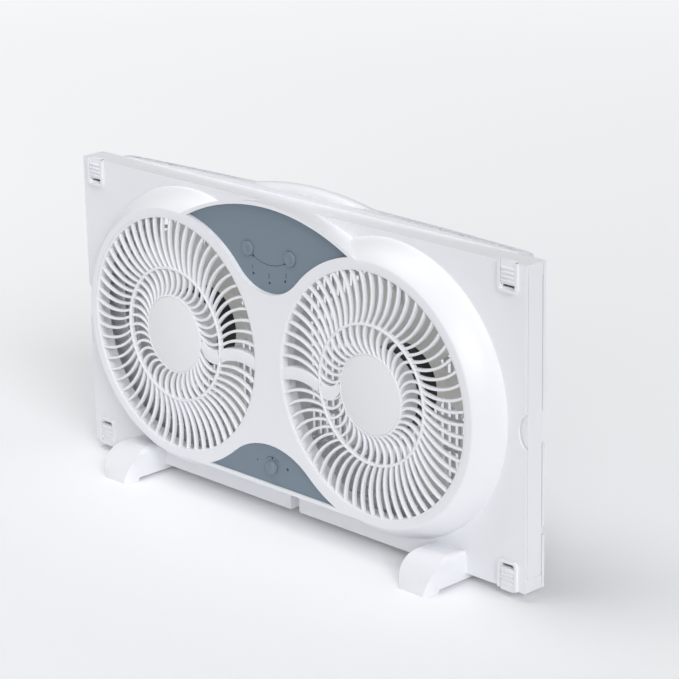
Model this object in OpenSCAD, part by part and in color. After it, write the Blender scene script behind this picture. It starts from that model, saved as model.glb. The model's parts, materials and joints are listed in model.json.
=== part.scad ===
// Twin window fan with sliding side panels, standing on its two feet.
// The origin is on the floor, under the middle of the fan. The front faces -Y.

/* [Frame] */
// Width of the frame with both side panels pushed in
frame_w = 584; // [580:1:600]
// Height of the frame without its feet
frame_h = 296.5; // [295:0.5:302]
// Depth of the frame at its sides
frame_d = 25; // [25:0.5:27]
// Gap under the frame when it stands on its feet
foot_lift = 8.5; // [8:0.5:12]
// Wall thickness of the mouldings
wall = 2.5; // [2.2:0.1:2.8]

/* [Fans] */
// Distance between the two fan axes
fan_spacing = 265; // [264:1:268]
// Height of the fan axes above the middle of the frame
fan_raise = 4; // [2:0.5:5]
// Diameter of each grille's open circle
grille_d = 227.5; // [226:0.5:228]
// How far the fan rings stand proud of the front plate
ring_proud = 28; // [27:0.5:29]
// Number of outer ribs in each grille
outer_ribs = 60; // [48:1:64]
// Number of inner ribs in each grille
inner_ribs = 40; // [32:1:42]
// Width of one rib
rib_w = 2.6; // [2.2:0.1:2.8]
// Depth of one rib
rib_d = 4; // [3:0.5:5]
// Diameter of the ring between inner and outer ribs
mid_ring_d = 130; // [128:1:132]
// Diameter of the cap in the middle of each grille
hub_cap_d = 77; // [76:1:78]
// Diameter of each fan wheel
wheel_d = 220; // [210:1:222]
// Number of blades on each fan wheel
blades = 5; // [4:1:6]

/* [Rear cover] */
// Width of the rear cover
cover_w = 520; // [510:1:524]
// Height of the rear cover
cover_h = 294; // [290:1:294]
// How far the rear cover stands behind the frame
cover_d = 48.5; // [46:0.5:52]
// Radius of the rear cover's upper and lower edges
cover_round = 49; // [45:1:50]
// Distance between two slats of the rear cover
slat_pitch = 9; // [8:0.5:12]
// Width of one slat
slat_w = 3; // [2:0.1:3.4]

/* [Latches] */
// Travel of each corner latch
latch_travel = 3; // [2:0.5:3]

/* [Hidden] */
$fn = 96;

white_abs = [0.93, 0.93, 0.94];
slate = [0.42, 0.49, 0.54];
wheel_grey = [0.80, 0.80, 0.78];
motor_black = [0.10, 0.10, 0.11];
steel = [0.66, 0.67, 0.69];
copper = [0.72, 0.40, 0.22];

// Places of the frame and of the fans
mid_z = foot_lift + frame_h / 2;
front_y = -frame_d / 2;
back_y = frame_d / 2;
ring_y = front_y - ring_proud;
fan_x = fan_spacing / 2;
fan_z = mid_z + fan_raise;
plate_t = 2.5;
seam_y = 0.5;
outer_x = frame_w / 2;
flange_x = outer_x - 7;
eps = 0.01;

// Ring round each fan: a flat lip, then a curved flank down to the plate
lip_r = 121.5;
foot_r = 139;
flank_r = 55;
lip_round = 3;
seat_r = 116.2;
duct_r = seat_r + wall;
duct_depth = 18;

// Bridge between the fans: its crown is part of a cylinder that falls towards the back
crown_r = 245;
crown_z = mid_z - 93.5;
crown_tilt = 11;
bridge_low = mid_z - 118;
bridge_half = 118;

// Control panels: outlines made of arcs round the fans and of one lobe each
upper_r = 125;
upper_lobe_z = mid_z + 126;
upper_arc_r = 237;
upper_arc_z = mid_z - 84.4;
lower_r = 127.5;
lower_lobe_z = mid_z - 155;
lower_edge_z = mid_z - 115;
upper_sink = 5;
lower_sink = 2.5;
panel_t = 2;
pocket_wall = 1.2;
button_x = 28;
button_z = mid_z + 108.5;
button_r = 7.2;
button_proud = 2.2;
button_travel = 1.5;
knob_z = mid_z - 98;
knob_r = 6.8;
lights = [[-21.5, mid_z + 85.8], [0, mid_z + 80.5], [21, mid_z + 86]];
light_r = 1.3;
board_y = -17;
board_t = 1.6;
board_low = mid_z + 76;
board_high = mid_z + 124;
board_half = 35;
board_holes = [[26, mid_z + 79.5], [31, mid_z + 121]];

// Motors and fan wheels: each motor hangs behind its grille's disc, and its wheel turns behind it
disc_r = hub_cap_d / 2;
disc_front = 0.4;
disc_t = 4.2;
cap_t = 1.6;
hub_r = 30;
hub_front = 7.5;
hub_back = 31;
blade_front = 9;
blade_back = 32.5;
blade_t = 2;
lead_r = 1.3;
blade_pitch = 24;
nut_t = 5;
motor_r = 39;
motor_front = -19;
stack_front = -13;
stack_back = -1;
motor_back = 5;
bell_t = 1.8;
shaft_r = 4;
shaft_clear = 0.05;
bearing_r = 7;
bearing_l = 4;
winding_l = 4;
mount_front = ring_y + disc_front + disc_t;
mount_r = disc_r - 0.1;
mount_t = 2.5;
screw_angles = [30, 150, 270];
mount_angles = [90, 210, 330];
bolt_r = 1.5;
bolt_place = 34.8;
mount_screw_place = 20;
mount_screw_r = 1.3;
mount_screw_grip = 2.4;

// Frame openings, side panels, latches and notches
opening_half_w = 248;
opening_half_h = 119;
opening_round = 100;
bar_w = 11;
bar_inset = 0.5;
rail_t = 2;
panel_front = front_y + 4.3;
panel_back = back_y - 3.5;
panel_low = foot_lift + wall + 0.3;
panel_high = foot_lift + frame_h - wall - 0.3;
web_t = 2.5;
arc_clear_r = 121;
grip_r = 20;
grip_deep = 8.6;
end_cap_h = 12;
latch_x = 272.5;
latch_w = 16.4;
latch_gap = 0.4;
latch_frame_w = 22.6;
latch_low = 121.5;
latch_pad = 128.5;
latch_proud = 2.6;
pad_proud = 1.6;
slot_h = 2.8;
rib_proud = 1;
cord_notch_w = 12;
cord_notch_x = 2;
cord_notch_h = 22;
cord_notch_d = 10;
cord_hole_r = 3;
cord_bore_r = 2.2;
cord_flange_r = 3.6;
cord_y = 6.2;
screw_x = 45;
screw_z = 138.5;
cover_screws = [[200, 137], [80, 137]];

// Feet
foot_x = 203.5;
foot_w = 38.5;
foot_reach = 66;
foot_h = 29.3;
foot_arch = 3.4;
foot_arch_front = 49;
foot_arch_back = 52;
toe_r = 34.5;
toe_y = -29.5;
toe_z = -3;
foot_screw_y = -6;
foot_screw_l = foot_lift - foot_arch + wall - 0.2;

// Slab between two depths: the shape's own Y becomes height
module slab(y0, y1) {
    translate([0, y1, 0])
        rotate([90, 0, 0])
            linear_extrude(y1 - y0)
                children();
}

// Turned about a fan's axis: the shape's X is radius and its Y is distance in front of y = 0
module turned(side) {
    translate([side * fan_x, 0, fan_z])
        rotate([90, 0, 0])
            rotate_extrude($fn = 180)
                children();
}

// Round piece along a fan's axis, from one depth to another
module axial(side, r, y0, y1) {
    translate([side * fan_x, y1, fan_z])
        rotate([90, 0, 0])
            cylinder(r = r, h = y1 - y0);
}

module axial_ring(side, r0, r1, y0, y1) {
    difference() {
        axial(side, r1, y0, y1);
        axial(side, r0, y0 - 1, y1 + 1);
    }
}

// Profile in the Y-Z plane pushed along X
module along_x(x0, x1) {
    translate([x0, 0, 0])
        rotate([90, 0, 90])
            linear_extrude(x1 - x0)
                children();
}

module block(low, high) {
    translate(low)
        cube(high - low);
}

// Moves a piece off a fan's axis, by a radius at an angle
module around(angle, radius) {
    translate([radius * cos(angle), 0, radius * sin(angle)])
        children();
}

function arc(c, r, a0, a1, n) =
    [for (i = [0 : n]) c + r * [cos(a0 + (a1 - a0) * i / n), sin(a0 + (a1 - a0) * i / n)]];

// Centre of the circle of radius r through p and q, on the left of the way from p to q
function circle_centre(p, q, r) =
    let (d = q - p, l = norm(d))
    (p + q) / 2 + [-d[1], d[0]] / l * sqrt(r * r - l * l / 4);

function direction(p, c) = atan2(p[1] - c[1], p[0] - c[0]);

// Where a circle round the right fan meets a circle round a point on the middle line,
// on the side towards the middle
function meet(fan_circle_r, c, r) =
    let (f = [fan_x, fan_z], d = c - f, l = norm(d),
        a = (fan_circle_r * fan_circle_r - r * r + l * l) / (2 * l),
        h = sqrt(max(0, fan_circle_r * fan_circle_r - a * a)))
    f + d * a / l + [-d[1], d[0]] / l * -h;

// Outline of the upper control panel, grown by g
function upper_outline(g) =
    let (f = [fan_x, fan_z], side_r = upper_r - g, top_c = [0, upper_arc_z], top_r = upper_arc_r + g,
        lobe_c = [0, upper_lobe_z],
        tip = meet(side_r, top_c, top_r),
        a_tip = direction(tip, f),
        a_touch = direction(lobe_c, f),
        half = arc(f, side_r, a_tip, a_touch, 12),
        lobe = arc(lobe_c, norm(lobe_c - f) - side_r, a_touch - 180, -90, 8),
        right = concat(half, [for (i = [1 : 8]) lobe[i]]),
        left = [for (i = [len(right) - 2 : -1 : 0]) [-right[i][0], right[i][1]]],
        top = arc(top_c, top_r, 180 - direction(tip, top_c), direction(tip, top_c), 28))
    concat(right, left, [for (i = [1 : 27]) top[i]]);

// Outline of the lower control panel, grown by g
function lower_outline(g) =
    let (f = [fan_x, fan_z], side_r = lower_r - g, lobe_c = [0, lower_lobe_z],
        low = lower_edge_z - g,
        a_tip = -180 + asin((fan_z - low) / side_r),
        a_touch = direction(lobe_c, f),
        half = arc(f, side_r, a_tip, a_touch, 12),
        lobe = arc(lobe_c, norm(lobe_c - f) - side_r, a_touch + 180, 90, 8),
        right = concat(half, [for (i = [1 : 8]) lobe[i]]),
        left = [for (i = [len(right) - 2 : -1 : 0]) [-right[i][0], right[i][1]]])
    concat(right, left);

// Rectangle with round corners, about the origin
module rounded(w, h, r) {
    square([w, h - 2 * r], center = true);
    square([w - 2 * r, h], center = true);
    for (x = [-1, 1], z = [-1, 1])
        translate([x * (w / 2 - r), z * (h / 2 - r)])
            circle(r = r);
}

// Hollow for a fingertip in the side of a plate, seen from the front
module finger_notch() {
    for (side = [-1, 1])
        translate([side * (frame_w / 2 + grip_r - grip_deep), mid_z])
            circle(r = grip_r);
}

// ---- Front housing ----

// Solid section of a fan's ring: flat lip, rounded edge and curved flank
module ring_section(inset) {
    front = -ring_y - inset;
    foot = -front_y - plate_t - 1;
    c = circle_centre([foot_r, -front_y], [lip_r + lip_round / 2, -ring_y], flank_r);
    inner = flank_r - lip_round;
    edge = [c[0] + sqrt(inner * inner - pow(-ring_y - lip_round - c[1], 2)), -ring_y - lip_round];
    turn = direction(edge, c);
    foot_turn = asin((foot - c[1]) / (flank_r - inset));
    polygon(concat([[0, foot], [0, front]], arc(edge, lip_round - inset, 90, turn, 5),
        arc(c, flank_r - inset, turn, foot_turn, 9)));
}

module ring_hollow_section() {
    difference() {
        ring_section(wall);
        translate([seat_r, -ring_y - duct_depth])
            square([wall, 60]);
    }
    translate([seat_r - 1, -front_y - plate_t - 2])
        square([foot_r - wall - seat_r - 0.5, 3 + plate_t]);
}

module bridge(inset) {
    intersection() {
        block([-bridge_half + 2 * inset, ring_y + inset, bridge_low + inset],
            [bridge_half - 2 * inset, seam_y + (inset > 0 ? 1 : 0), mid_z + frame_h]);
        crown_cylinder(crown_r - inset);
    }
}

module crown_cylinder(r) {
    translate([0, ring_y, crown_z])
        rotate([-90 - crown_tilt, 0, 0])
            translate([0, 0, -100])
                cylinder(r = r, h = 180, $fn = 360);
}

module plate_outline() {
    difference() {
        translate([0, mid_z])
            square([frame_w, frame_h], center = true);
        finger_notch();
        translate([cord_notch_x - cord_notch_w / 2, foot_lift - 1])
            square([cord_notch_w, cord_notch_h + 1]);
    }
}

// Fixed frame round a corner latch, on the plate's face
module latch_surround(x_side, z_side) {
    high = frame_h / 2;
    translate([x_side * latch_x, 0, mid_z])
        scale([1, 1, z_side])
            slab(front_y - latch_proud, front_y + eps)
                difference() {
                    latch_frame(latch_frame_w / 2, latch_low, high, 4);
                    latch_frame(latch_w / 2 + latch_gap, latch_low + 2.6, high + 10, 2);
                }
}

// Rectangle with its two inner corners rounded, seen from the front
module latch_frame(half, low, high, r) {
    polygon(concat([[half, high], [-half, high]], arc([r - half, low + r], r, 180, 270, 5),
        arc([half - r, low + r], r, 270, 360, 5)));
}

// Room for a corner latch in the plate's edge, and the slot that its travel leaves open
module latch_room(x_side, z_side) {
    high = frame_h / 2;
    translate([x_side * latch_x, 0, mid_z])
        scale([1, 1, z_side]) {
            block([-latch_w / 2 - latch_gap, front_y - 1, high - latch_travel - 1],
                [latch_w / 2 + latch_gap, front_y + 4, high + 1]);
            block([-latch_w / 2 + 1, front_y - 1, latch_pad - slot_h],
                [latch_w / 2 - 1, front_y + plate_t + 1, latch_pad - 0.4]);
        }
}

module front_shell() {
    difference() {
        union() {
            slab(front_y, front_y + plate_t)
                plate_outline();
            for (z = [foot_lift, foot_lift + frame_h - wall])
                block([-flange_x, front_y, z], [flange_x, seam_y, z + wall]);
            for (side = [-1, 1])
                turned(side)
                    ring_section(0);
            bridge(0);
        }
        for (side = [-1, 1]) {
            turned(side)
                ring_hollow_section();
            axial(side, seat_r, ring_y - 1, 5);
        }
        difference() {
            bridge_hollow();
            for (side = [-1, 1])
                axial(side, duct_r, ring_y, ring_y + duct_depth);
        }
        slab(front_y - 1, seam_y + 1)
            translate([cord_notch_x - cord_notch_w / 2, foot_lift - 1])
                square([cord_notch_w, wall + 2]);
    }
}

// Space inside the bridge and behind it, open to the back
module bridge_hollow() {
    intersection() {
        block([-100, ring_y + wall, bridge_low + wall],
            [100, seam_y + 1, foot_lift + frame_h - wall]);
        crown_cylinder(crown_r - wall);
    }
}

module front_housing() {
    color(white_abs)
        difference() {
            union() {
                front_shell();
                slab(ring_y + 0.5, ring_y + upper_sink + panel_t + wall)
                    polygon(upper_outline(pocket_wall));
                slab(ring_y + 0.5, ring_y + lower_sink + panel_t + wall)
                    polygon(lower_outline(pocket_wall));
                for (x = [-1, 1], z = [-1, 1])
                    latch_surround(x, z);
                block([-wall / 2, ring_y + 1, mid_z - 84], [wall / 2, seam_y, mid_z + 72]);
                block([cord_notch_x - cord_notch_w / 2 - wall, front_y + 1, foot_lift],
                    [cord_notch_x + cord_notch_w / 2 + wall, front_y + cord_notch_d + wall,
                        foot_lift + cord_notch_h + wall]);
                for (x = [-1, 1], p = board_holes)
                    translate([x * p[0], board_y, p[1]])
                        rotate([90, 0, 0])
                            cylinder(r = 2.6, h = board_y - ring_y - upper_sink - panel_t - 1);
                for (x = [-1, 1], z = [-1, 1]) {
                    translate([x * screw_x, seam_y, mid_z + z * screw_z])
                        rotate([90, 0, 0])
                            cylinder(r = 4, h = seam_y - front_y - 1);
                    block([x * screw_x - 1.2, front_y + 1, mid_z + z * (screw_z + 5) - 4],
                        [x * screw_x + 1.2, seam_y, mid_z + z * (screw_z + 5) + 4]);
                }
            }
            slab(ring_y - 1, ring_y + upper_sink + panel_t)
                polygon(upper_outline(0));
            slab(ring_y - 1, ring_y + lower_sink + panel_t)
                polygon(lower_outline(0));
            block([cord_notch_x - cord_notch_w / 2, front_y - 1, foot_lift - 1],
                [cord_notch_x + cord_notch_w / 2, front_y + cord_notch_d, foot_lift + cord_notch_h]);
            translate([cord_notch_x, front_y + cord_y, foot_lift + cord_notch_h - 1])
                cylinder(r = cord_hole_r, h = wall + 2);
            slab(ring_y, ring_y + 20) {
                for (x = [-button_x, button_x])
                    translate([x, button_z])
                        circle(r = button_r + 2);
                for (p = lights)
                    translate(p)
                        circle(r = light_r);
                translate([0, knob_z])
                    circle(r = 4);
            }
            for (x = [-1, 1], z = [-1, 1]) {
                latch_room(x, z);
                translate([x * screw_x, seam_y + 1, mid_z + z * screw_z])
                    rotate([90, 0, 0])
                        cylinder(r = 1.5, h = 11);
            }
            for (x = [-1, 1], p = board_holes)
                translate([x * p[0], board_y + 1, p[1]])
                    rotate([90, 0, 0])
                        cylinder(r = 1, h = 8);
            for (x = [-foot_x, foot_x])
                translate([x, foot_screw_y, foot_lift - 1])
                    cylinder(r = 1.6, h = 1 + foot_arch + 2);
        }
}

// ---- Grilles ----

// Curved bar between two points (radius, angle) of a fan's face, bent with radius bend
module curved_bar(p, q, bend, w, y0, y1) {
    a = p[0] * [cos(p[1]), sin(p[1])];
    b = q[0] * [cos(q[1]), sin(q[1])];
    c = bend > 0 ? circle_centre(a, b, bend) : circle_centre(b, a, -bend);
    start = bend > 0 ? direction(a, c) : direction(b, c);
    finish = bend > 0 ? direction(b, c) : direction(a, c);
    sweep = finish - start < 0 ? finish - start + 360 : finish - start;
    r = abs(bend);
    crest = min(0.6, w / 5);
    translate([0, y1, 0])
        rotate([90, 0, 0])
            translate([c[0], c[1], 0])
                rotate([0, 0, start])
                    rotate_extrude(angle = sweep, $fn = 160)
                        polygon([[r - w / 2, 0], [r + w / 2, 0],
                            [r + w / 2, y1 - y0 - crest], [r + w / 2 - crest, y1 - y0],
                            [r - w / 2 + crest, y1 - y0], [r - w / 2, y1 - y0 - crest]]);
}

// The left grille's ribs bend this way; the right grille is its mirror image
outer_start = [mid_ring_d / 2, -4.2];
outer_end = [grille_d / 2 + 1, 0];
outer_bend = 61;
inner_start = [disc_r - 1, 1];
inner_end = [mid_ring_d / 2, -4.3];
inner_bend = 21.3;
rib_front = ring_y + 0.6;
channel_w = 12;
channel_d = 8.5;

module grille(side) {
    outer_step = 360 / outer_ribs;
    inner_step = 360 / inner_ribs;
    color(white_abs)
        difference() {
            translate([side * fan_x, 0, fan_z])
                scale([-side, 1, 1])
                    union() {
                        for (i = [1 : outer_ribs - 2])
                            rotate([0, -i * outer_step, 0])
                                curved_bar(outer_start, outer_end, -outer_bend, rib_w,
                                    rib_front, rib_front + rib_d);
                        rotate([0, outer_step / 2, 0])
                            curved_bar(outer_start, outer_end, -outer_bend, channel_w,
                                rib_front, rib_front + channel_d);
                        for (i = [1 : inner_ribs - 1])
                            rotate([0, -i * inner_step, 0])
                                curved_bar(inner_start, inner_end, inner_bend, rib_w,
                                    rib_front, rib_front + rib_d);
                        rotate([0, 2, 0])
                            curved_bar(inner_start, inner_end, inner_bend, channel_w,
                                rib_front, rib_front + channel_d - 1.5);
                        rotate([90, 0, 0])
                            rotate_extrude($fn = 180)
                                grille_rings_section();
                    }
            turned(side)
                translate([0, -ring_y - cap_t])
                    square([disc_r - 1.5, 2]);
            axial(side, disc_r + 0.1, mount_front, mount_front + 10);
            for (a = mount_angles)
                around(a, mount_screw_place)
                    axial(side, mount_screw_r, mount_front - mount_screw_grip, mount_front + 1);
        }
}

// Rim, middle ring and middle disc of a grille
module grille_rings_section() {
    front = -ring_y;
    translate([grille_d / 2, front - 8])
        square([seat_r - grille_d / 2, 7.8]);
    translate([mid_ring_d / 2 - 1.3, front - 5])
        square([2.6, 4.6]);
    translate([0, front - disc_front - disc_t])
        square([disc_r, disc_t]);
}

module hub_cap(side) {
    color(white_abs)
        turned(side)
            difference() {
                translate([0, -ring_y - cap_t])
                    square([disc_r - 1.5, 2]);
                translate([0, -ring_y + 0.1])
                    square([disc_r - 4, 1]);
            }
}

// ---- Controls ----

module upper_control_panel() {
    color(slate)
        slab(ring_y + upper_sink, ring_y + upper_sink + panel_t)
            difference() {
                polygon(upper_outline(0));
                for (x = [-button_x, button_x])
                    translate([x, button_z])
                        circle(r = button_r + 0.3);
                for (p = lights)
                    translate(p)
                        circle(r = light_r);
            }
}

module lower_control_panel() {
    color(slate)
        slab(ring_y + lower_sink, ring_y + lower_sink + panel_t)
            difference() {
                polygon(lower_outline(0));
                translate([0, knob_z])
                    circle(r = 4);
            }
}

// Push button: cap, collar behind the panel, and the stem that presses the switch
module button(side) {
    face = ring_y + upper_sink;
    color(slate)
        translate([side * button_x, 0, button_z])
            rotate([90, 0, 0])
                rotate_extrude()
                    polygon([[0, -face - 11], [1.8, -face - 11], [1.8, -face - panel_t - 1.4],
                        [button_r + 1.4, -face - panel_t - 1.4], [button_r + 1.4, -face - panel_t - 0.2],
                        [button_r, -face - panel_t - 0.2], [button_r, -face + button_proud - 0.8],
                        [button_r - 0.8, -face + button_proud], [5, -face + button_proud],
                        [3, -face + button_proud - 0.5], [0, -face + button_proud - 0.7]]);
}

module airflow_knob() {
    face = ring_y + lower_sink;
    color(slate)
        difference() {
            translate([0, 0, knob_z])
                rotate([90, 0, 0])
                    rotate_extrude()
                        polygon([[0, -face - 12], [3, -face - 12], [3, -face + 0.4],
                            [knob_r, -face + 0.4], [knob_r - 0.5, -face + 3.4],
                            [knob_r - 1.2, -face + 4], [0, -face + 4]]);
            block([-0.6, face - 5, knob_z + 1.5], [0.6, face - 3.4, knob_z + 7]);
        }
}

module speed_lights() {
    color([0.95, 0.95, 0.92])
        for (p = lights)
            translate([p[0], board_y, p[1]])
                rotate([90, 0, 0])
                    cylinder(r = light_r, h = board_y - ring_y - upper_sink);
}

module control_board() {
    color([0.12, 0.36, 0.20])
        difference() {
            block([-board_half, board_y, board_low], [board_half, board_y + board_t, board_high]);
            for (x = [-1, 1], p = board_holes)
                translate([x * p[0], board_y + board_t + 1, p[1]])
                    rotate([90, 0, 0])
                        cylinder(r = 1.2, h = 5);
        }
    color([0.12, 0.12, 0.13])
        block([-9, board_y + board_t, board_low + 12], [9, board_y + board_t + 5, board_low + 30]);
}

module button_switches() {
    stem_end = ring_y + upper_sink + 11;
    color([0.15, 0.15, 0.16])
        for (x = [-button_x, button_x])
            translate([x, board_y, button_z]) {
                translate([-3, stem_end + button_travel + 1.2 - board_y, -3])
                    cube([6, board_y - stem_end - button_travel - 1.2, 6]);
                rotate([90, 0, 0])
                    cylinder(r = 1.5, h = board_y - stem_end - button_travel - 0.2);
            }
}

module airflow_switch() {
    front = ring_y + lower_sink + panel_t + wall;
    color([0.15, 0.15, 0.16])
        difference() {
            block([-11, front, knob_z - 9], [11, front + 13, knob_z + 9]);
            translate([0, front + 20, knob_z])
                rotate([90, 0, 0])
                    cylinder(r = 3 + shaft_clear, h = 30);
        }
}

module board_screws() {
    color(steel)
        for (x = [-1, 1], p = board_holes)
            translate([x * p[0], board_y + board_t, p[1]])
                rotate([90, 0, 0])
                    rotate_extrude()
                        polygon([[0, -1.4], [2, -1.2], [2, 0], [1, 0], [1, board_t + 6], [0, board_t + 6]]);
}

// ---- Motors ----

// Half of a motor's case: an end disc with a bearing pocket, and a skirt
module bell_section(length) {
    difference() {
        square([motor_r, length]);
        translate([bearing_r + 3, bell_t])
            square([motor_r - bearing_r - 3 - bell_t, length]);
        translate([0, bell_t])
            square([bearing_r, length]);
        square([2 * (shaft_r + 1.5), 4 * bell_t], center = true);
        translate([0, bell_t + bearing_l])
            square([bearing_r + 4, length]);
    }
}

module motor_front_bell(side) {
    color(motor_black)
        difference() {
            turned(side)
                translate([0, -motor_front])
                    mirror([0, 1])
                        bell_section(stack_front - motor_front);
            bolt_holes(side);
        }
}

// Holes for the bolts that run through a motor into its holder
module bolt_holes(side) {
    for (a = screw_angles)
        around(a, bolt_place)
            axial(side, bolt_r, motor_front - 8, motor_back + 1);
}

module motor_rear_bell(side) {
    color(motor_black)
        difference() {
            turned(side)
                translate([0, -motor_back])
                    bell_section(motor_back - stack_back);
            bolt_holes(side);
        }
}

module stator(side) {
    color(motor_black)
        difference() {
            axial_ring(side, 24, motor_r, stack_front, stack_back);
            bolt_holes(side);
        }
}

module windings(side) {
    color(copper)
        for (y = [stack_front - winding_l, stack_back])
            axial_ring(side, 25, 32, y, y + winding_l);
}

module bearings(side) {
    color([0.72, 0.60, 0.32])
        for (y = [motor_front + bell_t, motor_back - bell_t - bearing_l])
            axial_ring(side, shaft_r + shaft_clear, bearing_r, y, y + bearing_l);
}

module rotor(side) {
    color(steel)
        axial_ring(side, shaft_r, 23.4, stack_front + 0.5, stack_back - 0.5);
}

module shaft(side) {
    color(steel)
        axial(side, shaft_r, motor_front + bell_t + 0.5, hub_back + nut_t);
}

// Round cup that holds a motor behind the grille's disc, with a boss for each bolt
module motor_mount(side) {
    color(white_abs)
        difference() {
            union() {
                axial(side, mount_r, mount_front, mount_front + mount_t);
                axial_ring(side, mount_r - wall, mount_r, mount_front, motor_front);
                for (a = screw_angles)
                    around(a, bolt_place)
                        axial(side, bolt_r + 1.6, mount_front, motor_front);
            }
            bolt_holes(side);
            for (a = mount_angles)
                around(a, mount_screw_place)
                    axial(side, mount_screw_r, mount_front - 1, mount_front + mount_t + 1);
        }
}

module motor_screws() {
    color(steel)
        for (side = [-1, 1], a = screw_angles)
            around(a, bolt_place) {
                axial(side, bolt_r - 0.05, motor_front - 8, motor_back);
                axial(side, bolt_r + 1.3, motor_back, motor_back + 1.6);
            }
}

module motor_mount_screws() {
    color(steel)
        for (side = [-1, 1], a = mount_angles)
            screw(side * fan_x + mount_screw_place * cos(a), fan_z + mount_screw_place * sin(a),
                mount_front + mount_t, mount_screw_r, mount_t + mount_screw_grip);
}

// Square lead through points that lie along the axes of the frame from one to the next
module lead(points, r) {
    for (i = [0 : len(points) - 2]) {
        p = points[i];
        q = points[i + 1];
        block([for (k = [0 : 2]) min(p[k], q[k]) - r], [for (k = [0 : 2]) max(p[k], q[k]) + r]);
    }
}

// Lead from a motor, behind the wide rib to the bridge and up to the circuit board
module motor_lead(side) {
    start = side * (fan_x - disc_r - lead_r);
    near = side * (fan_x - seat_r + 3);
    up = side * 6;
    low = fan_z - 5;
    high = board_low + 22;
    front = ring_y + 10.5;
    back = ring_y + duct_depth + 2;
    color([0.85, 0.85, 0.85])
        lead([[start, front, low], [near, front, low], [near, back, low], [up, back, low],
            [up, back, high], [up, board_y - lead_r, high]], lead_r);
}

// ---- Fan wheels ----

// One edge of a blade seen from the front, from the hub outwards
function blade_edge(a0, a1, curl) =
    [for (i = [0 : 10])
        let (t = i / 10, r = hub_r - 2 + (wheel_d / 2 - hub_r + 2) * t, a = a0 + (a1 - a0) * t + curl * t * t)
        r * [cos(a), sin(a)]];

module blade_plan() {
    lead = blade_edge(26, 0, 40);
    tail = blade_edge(-26, -52, 36);
    rim = arc([0, 0], wheel_d / 2, direction(tail[10], [0, 0]), direction(lead[10], [0, 0]), 10);
    polygon(concat(tail, [for (i = [1 : 9]) rim[i]], [for (i = [10 : -1 : 0]) lead[i]]));
}

// Thin dished surface lying along a blade: part of a cone's wall, pitched to drive the air
module blade_skin() {
    near_r = 60;
    far_r = 130;
    span = wheel_d / 2 + 4;
    slope = atan((far_r - near_r) / span);
    translate([0, (blade_front + blade_back) / 2 - 1, 0])
        rotate([blade_pitch, 0, 0])
            rotate([0, 0, -slope])
                translate([0, -near_r * cos(slope), 0])
                    rotate([0, 90, 0])
                        difference() {
                            cylinder(r1 = near_r, r2 = far_r, h = span / cos(slope), $fn = 120);
                            translate([0, 0, -eps])
                                cylinder(r1 = near_r - blade_t, r2 = far_r - blade_t,
                                    h = span / cos(slope) + 2 * eps, $fn = 120);
                        }
}

module fan_wheel(side) {
    color(wheel_grey)
        translate([side * fan_x, 0, fan_z])
            difference() {
                union() {
                    rotate([90, 0, 0])
                        rotate_extrude()
                            polygon([[0, 18 - hub_back], [9, 18 - hub_back], [9, 3 - hub_back],
                                [hub_r - wall, 3 - hub_back], [hub_r - wall, -hub_front],
                                [hub_r, -hub_front], [hub_r, 3 - hub_back], [hub_r - 3, -hub_back],
                                [0, -hub_back]]);
                    for (i = [0 : blades - 1])
                        rotate([0, i * 360 / blades, 0])
                            difference() {
                                intersection() {
                                    slab(blade_front, blade_back)
                                        blade_plan();
                                    blade_skin();
                                }
                                rotate([90, 0, 0])
                                    translate([0, 0, -60])
                                        cylinder(r = hub_r - wall / 2, h = 120);
                            }
                }
                rotate([90, 0, 0])
                    translate([0, 0, -60])
                        cylinder(r = shaft_r, h = 120);
            }
}

module wheel_nut(side) {
    color([0.2, 0.2, 0.2])
        difference() {
            translate([side * fan_x, hub_back + nut_t, fan_z])
                rotate([90, 0, 0])
                    cylinder(r = 8, h = nut_t, $fn = 6);
            axial(side, shaft_r, hub_back - 1, hub_back + nut_t + 1);
        }
}

// ---- Rear housing and rear grille ----

module rear_housing() {
    color(white_abs)
        difference() {
            union() {
                slab(back_y - 3, back_y)
                    difference() {
                        translate([0, mid_z])
                            square([frame_w, frame_h], center = true);
                        translate([0, mid_z])
                            rounded(2 * opening_half_w, 2 * opening_half_h, opening_round);
                        finger_notch();
                        for (side = [-1, 1])
                            translate([side * frame_w / 2, mid_z - 95])
                                square([5, 8], center = true);
                    }
                for (z = [foot_lift, foot_lift + frame_h - wall])
                    block([-flange_x, seam_y, z], [flange_x, back_y, z + wall]);
                block([-wall / 2, seam_y, mid_z - opening_half_h - 1],
                    [wall / 2, back_y, mid_z + opening_half_h + 1]);
                for (x = [-1, 1], z = [-1, 1])
                    translate([x * screw_x, back_y - 1, mid_z + z * screw_z])
                        rotate([90, 0, 0])
                            cylinder(r = 4, h = back_y - 1 - seam_y);
            }
            for (x = [-1, 1], z = [-1, 1])
                translate([x * screw_x, back_y + 1, mid_z + z * screw_z])
                    rotate([90, 0, 0])
                        cylinder(r = 1.8, h = 20);
            for (x = [-1, 1], z = [-1, 1], p = cover_screws)
                translate([x * p[0], back_y + 1, mid_z + z * p[1]])
                    rotate([90, 0, 0])
                        cylinder(r = 1.5, h = 5);
        }
}

// Side view of the rear cover, grown by g
module cover_side(g) {
    r = cover_round + g;
    y1 = back_y + cover_d + g;
    h = cover_h / 2 + g;
    intersection() {
        union() {
            translate([back_y, mid_z - h + r])
                square([y1 - back_y, 2 * (h - r)]);
            for (z = [-1, 1])
                translate([y1 - r, mid_z + z * (h - r)])
                    circle(r = r, $fn = 180);
        }
        translate([back_y, mid_z - h])
            square([y1 - back_y, 2 * h]);
    }
}

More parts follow.
